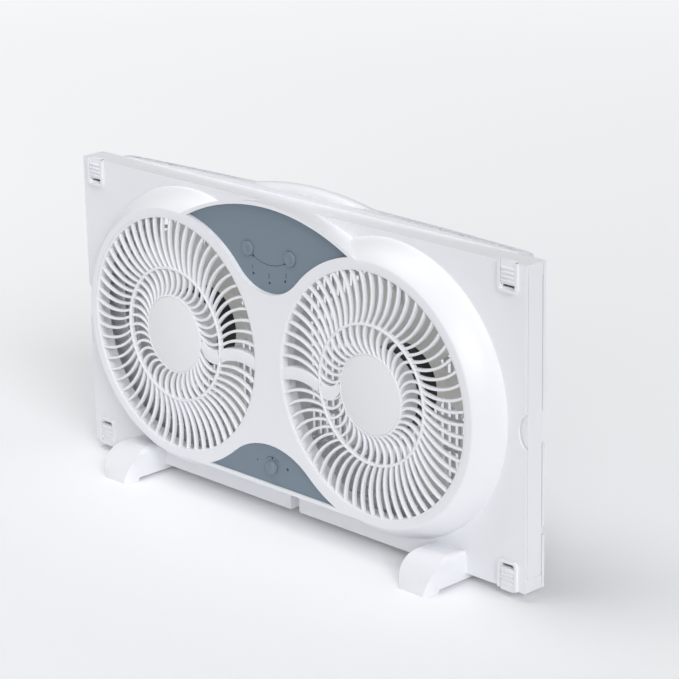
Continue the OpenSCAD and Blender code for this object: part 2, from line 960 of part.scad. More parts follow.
// Top view of the rear cover, grown by g
module cover_top(g) {
    r = 45 + g;
    y1 = back_y + cover_d + g;
    w = cover_w / 2 + g;
    translate([-w, back_y])
        square([2 * w, y1 - r - back_y]);
    translate([-w + r, back_y])
        square([2 * (w - r), y1 - back_y]);
    for (x = [-1, 1])
        translate([x * (w - r), y1 - r])
            circle(r = r, $fn = 180);
}

module cover_body(g) {
    intersection() {
        along_x(-cover_w, cover_w)
            cover_side(g);
        linear_extrude(mid_z + frame_h)
            cover_top(g);
    }
}

// Domed hump on the middle of the cover's top: a steep front, a round crest and a long back
hump_z = mid_z - 200.8;
hump_half = 104;
hump_foot_r = 349;
hump_crest_r = 8;
hump_crest_c = [353.4, 19.98];
hump_back_r = 30;
hump_back_c = [332.7, 12.46];
hump_turn = 20;
hump_tail_turn = 26;
hump_tail_r = 59;
hump_tail_c = hump_back_c + (hump_back_r - hump_tail_r) * [cos(hump_tail_turn), sin(hump_tail_turn)];

module hump_section(inset) {
    crest = arc(hump_crest_c, hump_crest_r - inset, -65, hump_turn, 8);
    tail = arc(hump_tail_c, hump_tail_r - inset, hump_tail_turn, 90, 12);
    mirror([0, 1])
        polygon(concat([[0, back_y + inset], [hump_foot_r - inset, back_y + inset]], crest,
            tail, [[0, hump_tail_c[1] + hump_tail_r - inset]]));
}

module hump(inset) {
    intersection() {
        translate([0, 0, hump_z])
            rotate([90, 0, 0])
                rotate_extrude($fn = 720)
                    hump_section(inset);
        block([-hump_half + inset, back_y, mid_z + 100], [hump_half - inset, 80, mid_z + 200]);
    }
}

row_edges = [-160, -101.5, -72.5, -43.5, -14.5, 14.5, 43.5, 72.5, 101.5, 160];
bar_t = 3;
slot_front = back_y + 4;
tab_t = 3;
fin_deep = 9;
fin_high = 44;
fin_front = 5;

module cover_slots() {
    count = floor((cover_w / 2 - 14) / slat_pitch);
    slot_w = slat_pitch - slat_w;
    for (i = [-count : count], j = [0 : len(row_edges) - 2])
        if (j < len(row_edges) - 2 || abs(i * slat_pitch) > hump_half)
            block([i * slat_pitch - slot_w / 2, slot_front, mid_z + row_edges[j] + bar_t / 2],
                [i * slat_pitch + slot_w / 2, back_y + 80, mid_z + row_edges[j + 1] - bar_t / 2]);
}

// Space inside the cover: the slats of its upper and lower edges reach into it as deep fins
module cover_hollow() {
    count = floor((cover_w / 2 - 14) / slat_pitch);
    difference() {
        cover_body(-wall - 0.5);
        difference() {
            for (i = [-count : count - 1], z = [-1, 1])
                if (z < 0 || abs((i + 0.5) * slat_pitch) > hump_half)
                    translate([(i + 0.5) * slat_pitch, back_y + cover_d / 2 + fin_front,
                        mid_z + z * (cover_h / 2 - fin_high / 2)])
                        cube([slat_w + 0.4, cover_d, fin_high], center = true);
            cover_body(-fin_deep);
        }
    }
}

module rear_grille() {
    color(white_abs)
        difference() {
            union() {
                difference() {
                    union() {
                        cover_body(0);
                        hump(0);
                    }
                    cover_hollow();
                    hump(wall);
                    cover_slots();
                }
                for (x = [-1, 1], z = [-1, 1], p = cover_screws)
                    translate([x * p[0], back_y + tab_t / 2, mid_z + z * (p[1] + 0.7)])
                        cube([12, tab_t, 13.5], center = true);
            }
            for (x = [-1, 1], z = [-1, 1], p = cover_screws)
                translate([x * p[0], back_y + tab_t + 1, mid_z + z * p[1]])
                    rotate([90, 0, 0])
                        cylinder(r = 1.5, h = tab_t + 2);
        }
}

module housing_screws() {
    color(steel)
        for (x = [-1, 1], z = [-1, 1])
            screw(x * screw_x, mid_z + z * screw_z, back_y, 1.5, 18);
}

module screw(x, z, y, r, l) {
    translate([x, y, z])
        rotate([90, 0, 0])
            rotate_extrude()
                polygon([[0, -1.6], [r + 1.3, -1.2], [r + 1.3, 0], [r, 0], [r, l], [0, l]]);
}

module rear_grille_screws() {
    color(steel)
        for (x = [-1, 1], z = [-1, 1], p = cover_screws)
            screw(x * p[0], mid_z + z * p[1], back_y + tab_t, 1.5, 6);
}

// ---- Side panels and latches ----

// Sheet of the right side's panel: web cut round the fan, and a rail above and below
module side_panel() {
    seat = outer_x - bar_w;
    color(white_abs) {
        slab(-1, -1 + web_t)
            difference() {
                union() {
                    translate([fan_x + 8, panel_low])
                        square([seat - fan_x - 8, panel_high - panel_low]);
                    translate([seat - wall, foot_lift + end_cap_h])
                        square([bar_w - bar_inset, frame_h - 2 * end_cap_h]);
                }
                translate([fan_x, fan_z])
                    circle(r = arc_clear_r, $fn = 180);
            }
        for (z = [panel_low, panel_high - rail_t])
            block([fan_x + 8, panel_front, z], [seat, panel_back, z + rail_t]);
    }
}

// Bar at the panel's outer end: channel that the sheet stands in, with a cap at both ends
module panel_bar() {
    face = front_y + plate_t + 0.4;
    color(white_abs) {
        difference() {
            block([outer_x - bar_w, face + 0.7, panel_low],
                [outer_x - bar_inset, panel_back - 0.3, panel_high]);
            block([outer_x - bar_w - 1, panel_front + wall, panel_low + wall],
                [outer_x - bar_inset - wall, panel_back - wall, panel_high - wall]);
        }
        for (z = [foot_lift, foot_lift + frame_h - end_cap_h])
            block([flange_x + 0.3, face, z], [outer_x, panel_back, z + end_cap_h]);
    }
}

// Latch of one corner: ribbed pad, bridge over the plate's edge, and a leg behind the plate
module latch(x_side, z_side) {
    high = frame_h / 2;
    color(white_abs)
        translate([x_side * latch_x, 0, mid_z])
            scale([1, 1, z_side])
                union() {
                    block([-latch_w / 2, front_y - pad_proud, latch_pad],
                        [latch_w / 2, front_y - 0.2, high + 2]);
                    block([-latch_w / 2, front_y - pad_proud, high + 0.2],
                        [latch_w / 2, front_y + 3.7, high + 2]);
                    block([-latch_w / 2, front_y + plate_t + 0.2, high - 7],
                        [latch_w / 2, front_y + 3.7, high + 1]);
                    for (i = [0 : 3])
                        block([-latch_w / 2 + 0.8, front_y - pad_proud - rib_proud, latch_pad + 2 + i * 3.8],
                            [latch_w / 2 - 0.8, front_y - pad_proud, latch_pad + 4 + i * 3.8]);
                }
}

// ---- Feet ----

// Side view of a foot: round toe in front, low arm under the rear cover
module foot_side_view() {
    toe = arc([toe_y, toe_z], toe_r, 180 - asin(-toe_z / toe_r), 74, 22);
    heel = arc([foot_reach - 5, foot_lift - 5], 5, 90, 0, 6);
    polygon(concat(toe, [[front_y, foot_h], [front_y, foot_lift]], heel,
        [[foot_reach, 0], [foot_arch_back, 0], [foot_arch_back - 2, foot_arch],
            [2 - foot_arch_front, foot_arch], [-foot_arch_front, 0]]));
}

module foot(side) {
    color(white_abs)
        difference() {
            foot_body(side);
            translate([side * foot_x, foot_screw_y, 0])
                cylinder(r = 1.6, h = 40);
        }
}

module foot_body(side) {
    intersection() {
        along_x(side * foot_x - foot_w / 2, side * foot_x + foot_w / 2)
            foot_side_view();
        linear_extrude(60)
            translate([side * foot_x, 0])
                rounded(foot_w, 2 * foot_reach, 12);
        slab(-80, 80)
            translate([side * foot_x, 0])
                foot_front_view();
    }
}

module foot_front_view() {
    r = 7;
    high = toe_z + toe_r;
    translate([-foot_w / 2, 0])
        square([foot_w, high - r]);
    translate([-foot_w / 2 + r, 0])
        square([foot_w - 2 * r, high]);
    for (x = [-1, 1])
        translate([x * (foot_w / 2 - r), high - r])
            circle(r = r);
}

module foot_screws() {
    color(steel)
        for (side = [-1, 1])
            translate([side * foot_x, foot_screw_y, foot_arch])
                rotate_extrude()
                    polygon([[0, -1.6], [3, -1.2], [3, 0], [1.6, 0], [1.6, foot_screw_l], [0, foot_screw_l]]);
}

// Grommet in the roof of the recess where the mains cord goes in
module cord_inlet() {
    roof = foot_lift + cord_notch_h;
    color([0.9, 0.9, 0.9])
        translate([cord_notch_x, front_y + cord_y, 0])
            rotate_extrude()
                polygon([[cord_bore_r, roof - 1.4], [cord_flange_r, roof - 1.4], [cord_flange_r, roof],
                    [cord_hole_r, roof], [cord_hole_r, roof + wall], [cord_flange_r, roof + wall],
                    [cord_flange_r, roof + wall + 1.4], [cord_bore_r, roof + wall + 1.4]]);
}

front_housing();
grille(-1);  // left_grille
grille(1);  // right_grille
hub_cap(-1);  // left_hub_cap
hub_cap(1);  // right_hub_cap
upper_control_panel();
lower_control_panel();
button(-1);  // left_button
button(1);  // right_button
airflow_knob();
speed_lights();
control_board();
button_switches();
airflow_switch();
board_screws();
motor_front_bell(-1);  // left_motor_front_bell
motor_front_bell(1);  // right_motor_front_bell
stator(-1);  // left_stator
stator(1);  // right_stator
windings(-1);  // left_windings
windings(1);  // right_windings
motor_rear_bell(-1);  // left_motor_rear_bell
motor_rear_bell(1);  // right_motor_rear_bell
bearings(-1);  // left_bearings
bearings(1);  // right_bearings
rotor(-1);  // left_rotor
rotor(1);  // right_rotor
shaft(-1);  // left_shaft
shaft(1);  // right_shaft
fan_wheel(-1);  // left_fan_wheel
fan_wheel(1);  // right_fan_wheel
wheel_nut(-1);  // left_wheel_nut
wheel_nut(1);  // right_wheel_nut
motor_mount(-1);  // left_motor_mount
motor_mount(1);  // right_motor_mount
motor_screws();
motor_mount_screws();
motor_lead(-1);  // left_motor_lead
motor_lead(1);  // right_motor_lead
rear_housing();
rear_grille();
housing_screws();
rear_grille_screws();
mirror([1, 0, 0]) side_panel();  // left_side_panel
side_panel();  // right_side_panel
mirror([1, 0, 0]) panel_bar();  // left_panel_bar
panel_bar();  // right_panel_bar
latch(-1, 1);  // upper_left_latch
latch(1, 1);  // upper_right_latch
latch(-1, -1);  // lower_left_latch
latch(1, -1);  // lower_right_latch
foot(-1);  // left_foot
foot(1);  // right_foot
foot_screws();
cord_inlet();
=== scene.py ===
"""Looks of a twin window fan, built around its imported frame."""

import json
import math

import bmesh
import bpy
from bpy.props import FloatProperty, FloatVectorProperty, IntProperty, PointerProperty
from mathutils import Matrix, Vector


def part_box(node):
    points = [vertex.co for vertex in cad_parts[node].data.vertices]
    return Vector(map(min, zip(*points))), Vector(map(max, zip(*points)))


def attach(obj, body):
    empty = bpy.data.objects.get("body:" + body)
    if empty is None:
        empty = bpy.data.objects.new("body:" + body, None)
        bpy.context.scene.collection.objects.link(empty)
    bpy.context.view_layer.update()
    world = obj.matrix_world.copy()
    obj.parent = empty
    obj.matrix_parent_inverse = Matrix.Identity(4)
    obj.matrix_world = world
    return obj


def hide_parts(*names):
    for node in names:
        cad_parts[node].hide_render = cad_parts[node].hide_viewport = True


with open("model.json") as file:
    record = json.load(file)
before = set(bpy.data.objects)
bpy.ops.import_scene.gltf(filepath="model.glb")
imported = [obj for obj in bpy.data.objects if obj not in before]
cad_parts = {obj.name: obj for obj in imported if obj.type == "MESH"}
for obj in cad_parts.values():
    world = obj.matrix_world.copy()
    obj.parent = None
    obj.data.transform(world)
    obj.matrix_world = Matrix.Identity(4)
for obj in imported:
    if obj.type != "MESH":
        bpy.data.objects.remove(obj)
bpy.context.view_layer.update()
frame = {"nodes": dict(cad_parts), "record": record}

bl_info = {
    "name": "Twin window fan",
    "version": (1, 0, 0),
    "blender": (4, 5, 0),
    "location": "View3D > Sidebar > Window fan",
    "description": "Builds the mouldings, grilles, panels and stage of a twin window fan",
    "category": "Object",
}

MM = 0.001

# Places that the frame gives, in metres
GRILLE = {side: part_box(side + "_grille") for side in ("left", "right")}
REAR_LOW, REAR_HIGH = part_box("rear_housing")
FAN_CENTRE = {side: (low + high) / 2 for side, (low, high) in GRILLE.items()}
GRILLE_FRONT = GRILLE["left"][0].y
MID_Z = (REAR_LOW.z + REAR_HIGH.z) / 2
UPPER_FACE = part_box("upper_control_panel")[0].y
LOWER_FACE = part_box("lower_control_panel")[0].y

# Points of a mesh that are closer than this are one point: in a copied CAD node, and in any piece
NODE_WELD = 0.004 * MM
PIECE_WELD = 0.002 * MM


def linear(code):
    """Linear colour of an sRGB hex value."""
    parts = [int(code[i : i + 2], 16) / 255 for i in (1, 3, 5)]
    return [c / 12.92 if c <= 0.04045 else ((c + 0.055) / 1.055) ** 2.4 for c in parts] + [1]


class FanColours(bpy.types.PropertyGroup):
    """Colours of the fan's finishes."""

    housing: FloatVectorProperty(
        name="Housing", description="Moulded housing and grilles", subtype="COLOR",
        size=4, min=0, max=1, default=linear("#EEEFF3"))
    cap: FloatVectorProperty(
        name="Hub cap", description="Caps in the middle of the grilles", subtype="COLOR",
        size=4, min=0, max=1, default=linear("#EBECEF"))
    panel: FloatVectorProperty(
        name="Control panel", description="Slate control panels", subtype="COLOR",
        size=4, min=0, max=1, default=linear("#798895"))
    marking: FloatVectorProperty(
        name="Marking", description="Printed marks on the panels", subtype="COLOR",
        size=4, min=0, max=1, default=linear("#2F3A44"))
    wheel: FloatVectorProperty(
        name="Fan wheel", description="Fan wheels behind the grilles", subtype="COLOR",
        size=4, min=0, max=1, default=linear("#EDECE8"))
    floor: FloatVectorProperty(
        name="Floor", description="Plain floor", subtype="COLOR",
        size=4, min=0, max=1, default=linear("#F7F8FA"))


class FanSizes(bpy.types.PropertyGroup):
    """Sizes of the fan's fine shapes."""

    edge: FloatProperty(
        name="Edge", description="Width of the softened edges of the mouldings",
        default=0.5 * MM, min=0.1 * MM, max=1.5 * MM, unit="LENGTH")
    rib_width: FloatProperty(
        name="Rib width", description="Width of one grille rib",
        default=2.6 * MM, min=2 * MM, max=3.5 * MM, unit="LENGTH")
    rib_depth: FloatProperty(
        name="Rib depth", description="Depth of one grille rib",
        default=4 * MM, min=2 * MM, max=6 * MM, unit="LENGTH")
    outer_ribs: IntProperty(
        name="Outer ribs", description="Ribs outside the middle ring", default=60, min=30, max=72)
    inner_ribs: IntProperty(
        name="Inner ribs", description="Ribs inside the middle ring", default=40, min=20, max=50)
    grille_radius: FloatProperty(
        name="Grille radius", description="Radius of a grille's open circle",
        default=113.75 * MM, min=0.1, max=0.12, unit="LENGTH")
    middle_radius: FloatProperty(
        name="Middle ring radius", description="Radius of the ring between the two rows of ribs",
        default=65 * MM, min=0.05, max=0.08, unit="LENGTH")
    hub_radius: FloatProperty(
        name="Hub radius", description="Radius of the disc in the middle of a grille",
        default=38.5 * MM, min=0.03, max=0.05, unit="LENGTH")


def colours():
    return bpy.context.scene.fan_colours


def sizes():
    return bpy.context.scene.fan_sizes


# ---- Materials ----

# Depth of a moulded grain and of the fine unevenness of metal
GRAIN_DEPTH = 0.05 * MM
MOTTLE_DEPTH = 0.03 * MM
# Size of the patches in which a moulding's gloss varies
FLOW_SIZE = 45 * MM

# Name of the material of each slot, filled when the materials are made
MATERIAL_NAMES = {}


def add_node(tree, kind, settings=None, links=None):
    """Adds a node, sets its properties or inputs, and links outputs to its inputs."""
    made = tree.nodes.new(kind)
    for key, value in (settings or {}).items():
        if key in made.inputs and not hasattr(type(made), str(key)):
            made.inputs[key].default_value = value
        else:
            setattr(made, key, value)
    for key, source in (links or {}).items():
        tree.links.new(source, made.inputs[key])
    return made


def new_material(name):
    made = bpy.data.materials.new(name)
    made.use_nodes = True
    made.node_tree.nodes.clear()
    return made, made.node_tree


def close_material(tree, shader):
    add_node(tree, "ShaderNodeOutputMaterial", links={"Surface": shader.outputs[0]})


def moulded_plastic(name, colour, roughness, grain_mm, grain_strength, cloud=0.015, glow=0.0):
    """Injection-moulded plastic: an even colour under a fine spark-eroded grain.

    cloud is how far the colour varies, and glow how much painted light the piece gives off, though it is
    no lamp.
    """
    made, tree = new_material(name)
    place = add_node(tree, "ShaderNodeTexCoord").outputs["Object"]
    grain = add_node(tree, "ShaderNodeTexNoise",
        {"Scale": 1 / (grain_mm * MM), "Detail": 3.0, "Roughness": 0.55}, {"Vector": place})
    bump = add_node(tree, "ShaderNodeBump",
        {"Strength": grain_strength, "Distance": GRAIN_DEPTH}, {"Height": grain.outputs["Fac"]})
    # Flow of the melt leaves the gloss a little uneven over a few centimetres
    flow = add_node(tree, "ShaderNodeTexNoise",
        {"Scale": 1 / FLOW_SIZE, "Detail": 2.0}, {"Vector": place})
    gloss = add_node(tree, "ShaderNodeMapRange",
        {"From Min": 0.3, "From Max": 0.7, "To Min": roughness - 0.03, "To Max": roughness + 0.05},
        {"Value": flow.outputs["Fac"]})
    pale = add_node(tree, "ShaderNodeMixRGB", {"blend_type": "MULTIPLY", "Fac": cloud, "Color1": colour},
        {"Color2": flow.outputs["Color"]})
    shader = add_node(tree, "ShaderNodeBsdfPrincipled",
        {"IOR": 1.5, "Emission Color": colour, "Emission Strength": glow},
        {"Base Color": pale.outputs[0], "Roughness": gloss.outputs[0], "Normal": bump.outputs[0]})
    close_material(tree, shader)
    return made


def metal(name, code, roughness, mottle_mm):
    """Metal whose gloss varies in a fine mottle, mottle_mm across."""
    made, tree = new_material(name)
    place = add_node(tree, "ShaderNodeTexCoord").outputs["Object"]
    mottle = add_node(tree, "ShaderNodeTexNoise",
        {"Scale": 1 / (mottle_mm * MM), "Detail": 4.0}, {"Vector": place})
    gloss = add_node(tree, "ShaderNodeMapRange",
        {"To Min": roughness - 0.08, "To Max": roughness + 0.12}, {"Value": mottle.outputs["Fac"]})
    bump = add_node(tree, "ShaderNodeBump", {"Strength": 0.15, "Distance": MOTTLE_DEPTH},
        {"Height": mottle.outputs["Fac"]})
    shader = add_node(tree, "ShaderNodeBsdfPrincipled", {"Base Color": linear(code), "Metallic": 1.0},
        {"Roughness": gloss.outputs[0], "Normal": bump.outputs[0]})
    close_material(tree, shader)
    return made


def make_materials():
    c = colours()
    return {
        # ABS, moulded with a fine satin grain: soft broad highlights, a cool white
        "housing_white": moulded_plastic("abs_satin_white", c.housing, 0.36, 0.5, 0.12),
        # The same ABS with a duller face, a shade darker
        "cap_white": moulded_plastic("abs_dull_white", c.cap, 0.42, 0.5, 0.15),
        # ABS in slate grey with a matte face: no clear reflections
        "panel_slate": moulded_plastic("abs_matte_slate", c.panel, 0.5, 0.4, 0.2, 0.05),
        # Thin polypropylene: waxy, a warm light grey; its small glow is painted light, which
        # brightens the blades in the shaded duct behind the grille
        "wheel_grey": moulded_plastic("polypropylene_grey", c.wheel, 0.4, 0.8, 0.1, 0.03, 0.09),
        # Stove enamel on steel: dark with a soft sheen
        "motor_black": moulded_plastic("enamel_black", linear("#2A2A2C"), 0.38, 0.6, 0.2, 0.2),
        # Enamelled copper wire: warm red-brown under a clear varnish
        "winding_copper": metal("enamelled_copper", "#B8672F", 0.35, 0.4),
        # Sintered bronze: dull yellow, the roughest of the metals
        "bearing_bronze": metal("sintered_bronze", "#B89A55", 0.45, 0.3),
        # Zinc-plated steel: bright and cool
        "steel_parts": metal("zinc_plated_steel", "#B4B6B8", 0.3, 0.3),
        # Smoked acrylic light guides, dark while they are off
        "light_clear": moulded_plastic("acrylic_smoked", linear("#343F49"), 0.2, 0.6, 0.05),
        # Glass-fibre board under green solder mask
        "board_green": moulded_plastic("solder_mask_green", linear("#1F5C34"), 0.35, 0.5, 0.1, 0.1),
        # Pad-printed ink: flat and dull
        "printed": moulded_plastic("printed_ink", c.marking, 0.55, 0.5, 0.05),
        # Soft PVC, slightly waxy
        "soft_vinyl": moulded_plastic("soft_vinyl_white", linear("#DEDEDC"), 0.45, 0.5, 0.1),
    }


# ---- Mesh helpers ----


# Edges that turn by more than this stay sharp when a piece is shaded smooth
SHARP_ANGLE = math.radians(35)
# Edges that turn by more than this are rounded
SOFT_ANGLE = math.radians(30)
# Faces of a CAD node that turn by less than this are joined to one
FLAT_ANGLE = math.radians(0.3)
# Steps round a full ring
RING_STEPS = 144


def add_piece(bm, name, body, slot, nodes):
    """Turns a bmesh into a shown piece that rides on a body and stands for CAD nodes."""
    bmesh.ops.remove_doubles(bm, verts=bm.verts, dist=PIECE_WELD)
    bmesh.ops.recalc_face_normals(bm, faces=bm.faces)
    mesh = bpy.data.meshes.new(name)
    bm.to_mesh(mesh)
    bm.free()
    piece = bpy.data.objects.new(name, mesh)
    bpy.context.scene.collection.objects.link(piece)
    mesh.shade_smooth()
    mesh.set_sharp_from_angle(angle=SHARP_ANGLE)
    mesh.materials.append(bpy.data.materials[MATERIAL_NAMES[slot]])
    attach(piece, body)
    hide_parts(*nodes)
    return piece


def soften(piece, width):
    """Rounds a piece's sharp edges, as a mould leaves them."""
    bevel = piece.modifiers.new("soft_edges", "BEVEL")
    bevel.width = width
    bevel.segments = 2
    bevel.limit_method = "ANGLE"
    bevel.angle_limit = SOFT_ANGLE
    bevel.use_clamp_overlap = True
    bevel.harden_normals = False


def from_node(node, body, slot):
    """A copy of a CAD node with its flat faces joined and its edges softened."""
    bm = bmesh.new()
    bm.from_mesh(frame["nodes"][node].data)
    bmesh.ops.remove_doubles(bm, verts=bm.verts, dist=NODE_WELD)
    bmesh.ops.dissolve_limit(
        bm, angle_limit=FLAT_ANGLE, use_dissolve_boundaries=False,
        verts=bm.verts, edges=bm.edges, delimit={"NORMAL"})
    piece = add_piece(bm, node + "_moulding", body, slot, [node])
    soften(piece, sizes().edge)


def section(bm, corners, fillet, rounded):
    """Adds the only face of an empty bmesh; its corners that rounded numbers get a radius."""
    verts = [bm.verts.new(p) for p in corners]
    bm.faces.new(verts)
    if rounded:
        bmesh.ops.bevel(
            bm, geom=[verts[i] for i in rounded], offset=fillet, offset_type="OFFSET",
            segments=3, profile=0.5, affect="VERTICES", material=-1, clamp_overlap=True)
    bm.faces.ensure_lookup_table()
    return bm.faces[0]


def spin_ring(bm, corners, fillet, rounded, centre):
    """A full ring about the fan's axis from corners given as (radius, y)."""
    start = bmesh.new()
    face = section(start, [(centre.x + r, y, centre.z) for r, y in corners], fillet, rounded)
    start.faces.remove(face)
    bmesh.ops.spin(
        start, geom=start.verts[:] + start.edges[:], cent=(centre.x, 0, centre.z), axis=(0, 1, 0),
        dvec=(0, 0, 0), angle=math.tau, steps=RING_STEPS, use_merge=True, use_duplicate=False)
    merge_into(bm, start)


def merge_into(bm, other, matrix=None):
    """Adds another bmesh to bm, moved by matrix, and frees it."""
    if matrix is not None:
        bmesh.ops.transform(other, matrix=matrix, verts=other.verts)
    mesh = bpy.data.meshes.new("part")
    other.to_mesh(mesh)
    other.free()
    bm.from_mesh(mesh)
    bpy.data.meshes.remove(mesh)


def arc_centre(start, end, bend):
    """Centre of the arc of radius |bend| from start to end; a positive bend turns left."""
    chord = end - start
    rise = math.sqrt(max(0.0, bend * bend - chord.length_squared / 4))
    normal = Vector((-chord.y, chord.x)).normalized()
    return (start + end) / 2 + normal * (rise if bend > 0 else -rise)


def polar(radius, degrees):
    """Point at a radius and an angle from the origin."""
    a = math.radians(degrees)
    return Vector((radius * math.cos(a), radius * math.sin(a)))


# The ribs' fronts lie this far behind the rings' fronts, and their front edges have this radius
RIB_SETBACK = 0.4 * MM
RIB_FILLET = 0.95 * MM


def curved_rib(start, end, bend, width, depth, steps):
    """One rib about the origin: a section with a rounded front, spun along its arc."""
    a, b = polar(*start), polar(*end)
    c = arc_centre(a, b, bend)
    towards = (a - c).normalized()
    sweep = (b - c).angle_signed(a - c)
    corners = []
    for across, back in ((-0.5, 0), (0.5, 0), (0.5, 1), (-0.5, 1)):
        p = c + towards * (abs(bend) + across * width)
        corners.append((p.x, GRILLE_FRONT + RIB_SETBACK + back * depth, p.y))
    bm = bmesh.new()
    face = section(bm, corners, min(RIB_FILLET, width * 0.35), (0, 1))
    bmesh.ops.spin(
        bm, geom=[face] + face.edges[:] + face.verts[:], cent=(c.x, 0, c.y), axis=(0, -1, 0),
        dvec=(0, 0, 0), angle=sweep, steps=steps, use_merge=False, use_duplicate=False)
    return bm


# ---- Pieces ----


# The ribs' ends reach this far into the rings
RIB_OVERLAP = 1 * MM
# Width of the wide rib that hides a motor's lead
WIDE_RIB_WIDTH = 12 * MM


def rib_rows():
    """Outer and inner row of ribs: count, places, inner end, outer end, bend and steps.

    The circle has count places, and ribs stand at places. An end is a radius and an angle in
    degrees, the bend is the radius of a rib's arc, and steps are the pieces of that arc.
    """
    s = sizes()
    outer = (
        s.outer_ribs, range(1, s.outer_ribs - 1), (s.middle_radius, -4.2),
        (s.grille_radius + RIB_OVERLAP, 0), -61 * MM, 10)
    inner = (
        s.inner_ribs, range(1, s.inner_ribs), (s.hub_radius - RIB_OVERLAP, 1),
        (s.middle_radius, -4.3), 21.3 * MM, 8)
    return outer, inner


def add_ribs(bm):
    """All ribs of one grille about the origin, and the wide rib of each row."""
    s = sizes()
    rows = rib_rows()
    for count, places, start, end, bend, steps in rows:
        for i in places:
            rib = curved_rib(start, end, bend, s.rib_width, s.rib_depth, steps)
            merge_into(bm, rib, Matrix.Rotation(-math.tau * i / count, 4, "Y"))
    # The wide ribs stand in the places that the rows leave free
    turns = (-180 / s.outer_ribs, -2)
    depths = (8.5 * MM, 7 * MM)
    for (_, _, start, end, bend, steps), turn, depth in zip(rows, turns, depths):
        rib = curved_rib(start, end, bend, WIDE_RIB_WIDTH, depth, steps * 2)
        merge_into(bm, rib, Matrix.Rotation(-math.radians(turn), 4, "Y"))


def add_rings(bm):
    """Middle ring, hub ring, hub disc and outer ring of one grille about the origin."""
    s = sizes()
    middle, hub, edge = s.middle_radius, s.hub_radius, s.grille_radius
    # Inner and outer radius, front and back as they lie behind the grille's front, then the radius
    # of the rounded corners and which corners those are
    rings = (
        (middle - 1.3 * MM, middle + 1.3 * MM, 0, 4.6 * MM, 0.8 * MM, (0, 1)),
        (hub - 1.4 * MM, hub, 0, 4.4 * MM, 0.6 * MM, (0, 1)),
        (0.2 * MM, hub - 1 * MM, 3 * MM, 4.4 * MM, 0, ()),
        (edge, edge + 2.5 * MM, 0, 7.8 * MM, 0.7 * MM, (0,)),
    )
    for inner, outer, front, back, fillet, rounded in rings:
        low, high = GRILLE_FRONT + front, GRILLE_FRONT + back
        corners = [(inner, low), (outer, low), (outer, high), (inner, high)]
        spin_ring(bm, corners, fillet, rounded, Vector((0, 0, 0)))


class OBJECT_OT_fan_grille(bpy.types.Operator):
    """Build both front grilles with their curved ribs"""

    bl_idname = "object.fan_grille"
    bl_label = "Grilles"

    def execute(self, context):
        for side, sign in (("left", 1), ("right", -1)):
            bm = bmesh.new()
            add_ribs(bm)
            add_rings(bm)
            place = Matrix.Translation((FAN_CENTRE[side].x, 0, FAN_CENTRE[side].z))
            bmesh.ops.transform(bm, matrix=place @ Matrix.Diagonal((sign, 1, 1, 1)), verts=bm.verts)
            add_piece(bm, side + "_ribbed_grille", "frame", "housing_white", [side + "_grille"])
        return {"FINISHED"}


# Gap round a hub cap, its thickness, how far its face is domed each way, and its edge's radius
CAP_GAP = 1.5 * MM
CAP_THICKNESS = 3 * MM
CAP_DOME = 0.1 * MM
CAP_FILLET = 0.9 * MM


class OBJECT_OT_fan_hub_caps(bpy.types.Operator):
    """Build the two hub caps"""

    bl_idname = "object.fan_hub_caps"
    bl_label = "Hub caps"

    def execute(self, context):
        r = sizes().hub_radius - CAP_GAP
        front, back = GRILLE_FRONT, GRILLE_FRONT + CAP_THICKNESS
        corners = [(0, front - CAP_DOME), (r, front + CAP_DOME), (r, back), (0, back)]
        for side in ("left", "right"):
            bm = bmesh.new()
            centre = Vector((FAN_CENTRE[side].x, 0, FAN_CENTRE[side].z))
            spin_ring(bm, corners, CAP_FILLET, (1,), centre)
            add_piece(bm, side + "_hub_disc", "frame", "cap_white", [side + "_hub_cap"])
        return {"FINISHED"}


# Printed marks stand this far in front of their panel
PRINT = 0.04 * MM
# Places of the marks are millimetres to the side and up from the middle of the fan; a figure
# stands above each speed light
FIGURES = (("1", -22.5, 91.5), ("2", -0.5, 87), ("3", 22, 91.5))
FIGURE_HEIGHT = 6 * MM
# A dot is its place and its radius: one beside each button, and three that grow round the knob
BUTTON_DOTS = ((-21, 102.6, 1.2), (21, 102.6, 1.2))
KNOB_DOTS = ((-20.4, -95.2, 0.9), (0, -89.0, 1.2), (20.6, -95.2, 1.5))
# An arc is the height of its centre, its radius, its first and last angle in degrees and its width
BUTTON_ARC = (143, 45.5, 242.5, 297.5, 0.6)
KNOB_ARC = (-98, 10.5, 40, 140, 0.5)


def printed_dots(bm, dots, face_y):
    """Round printed dots on a panel's face."""
    for x, z, radius in dots:
        made = bmesh.ops.create_circle(bm, cap_ends=True, segments=24, radius=radius * MM)
        place = Matrix.Translation((x * MM, face_y - PRINT, MID_Z + z * MM))
        turn = place @ Matrix.Rotation(math.radians(90), 4, "X")
        bmesh.ops.transform(bm, matrix=turn, verts=made["verts"])


def printed_arc(bm, arc, face_y):
    """A printed line that runs round part of a circle."""
    up, radius, start, finish, width = arc
    centre_z = MID_Z + up * MM
    a = math.radians(start)
    ends = []
    for r in (radius * MM - width * MM / 2, radius * MM + width * MM / 2):
        ends.append(bm.verts.new((r * math.cos(a), face_y - PRINT, centre_z + r * math.sin(a))))
    edge = bm.edges.new(ends)
    bmesh.ops.spin(
        bm, geom=ends + [edge], cent=(0, 0, centre_z), axis=(0, -1, 0), dvec=(0, 0, 0),
        angle=math.radians(finish - start), steps=20, use_merge=False, use_duplicate=False)


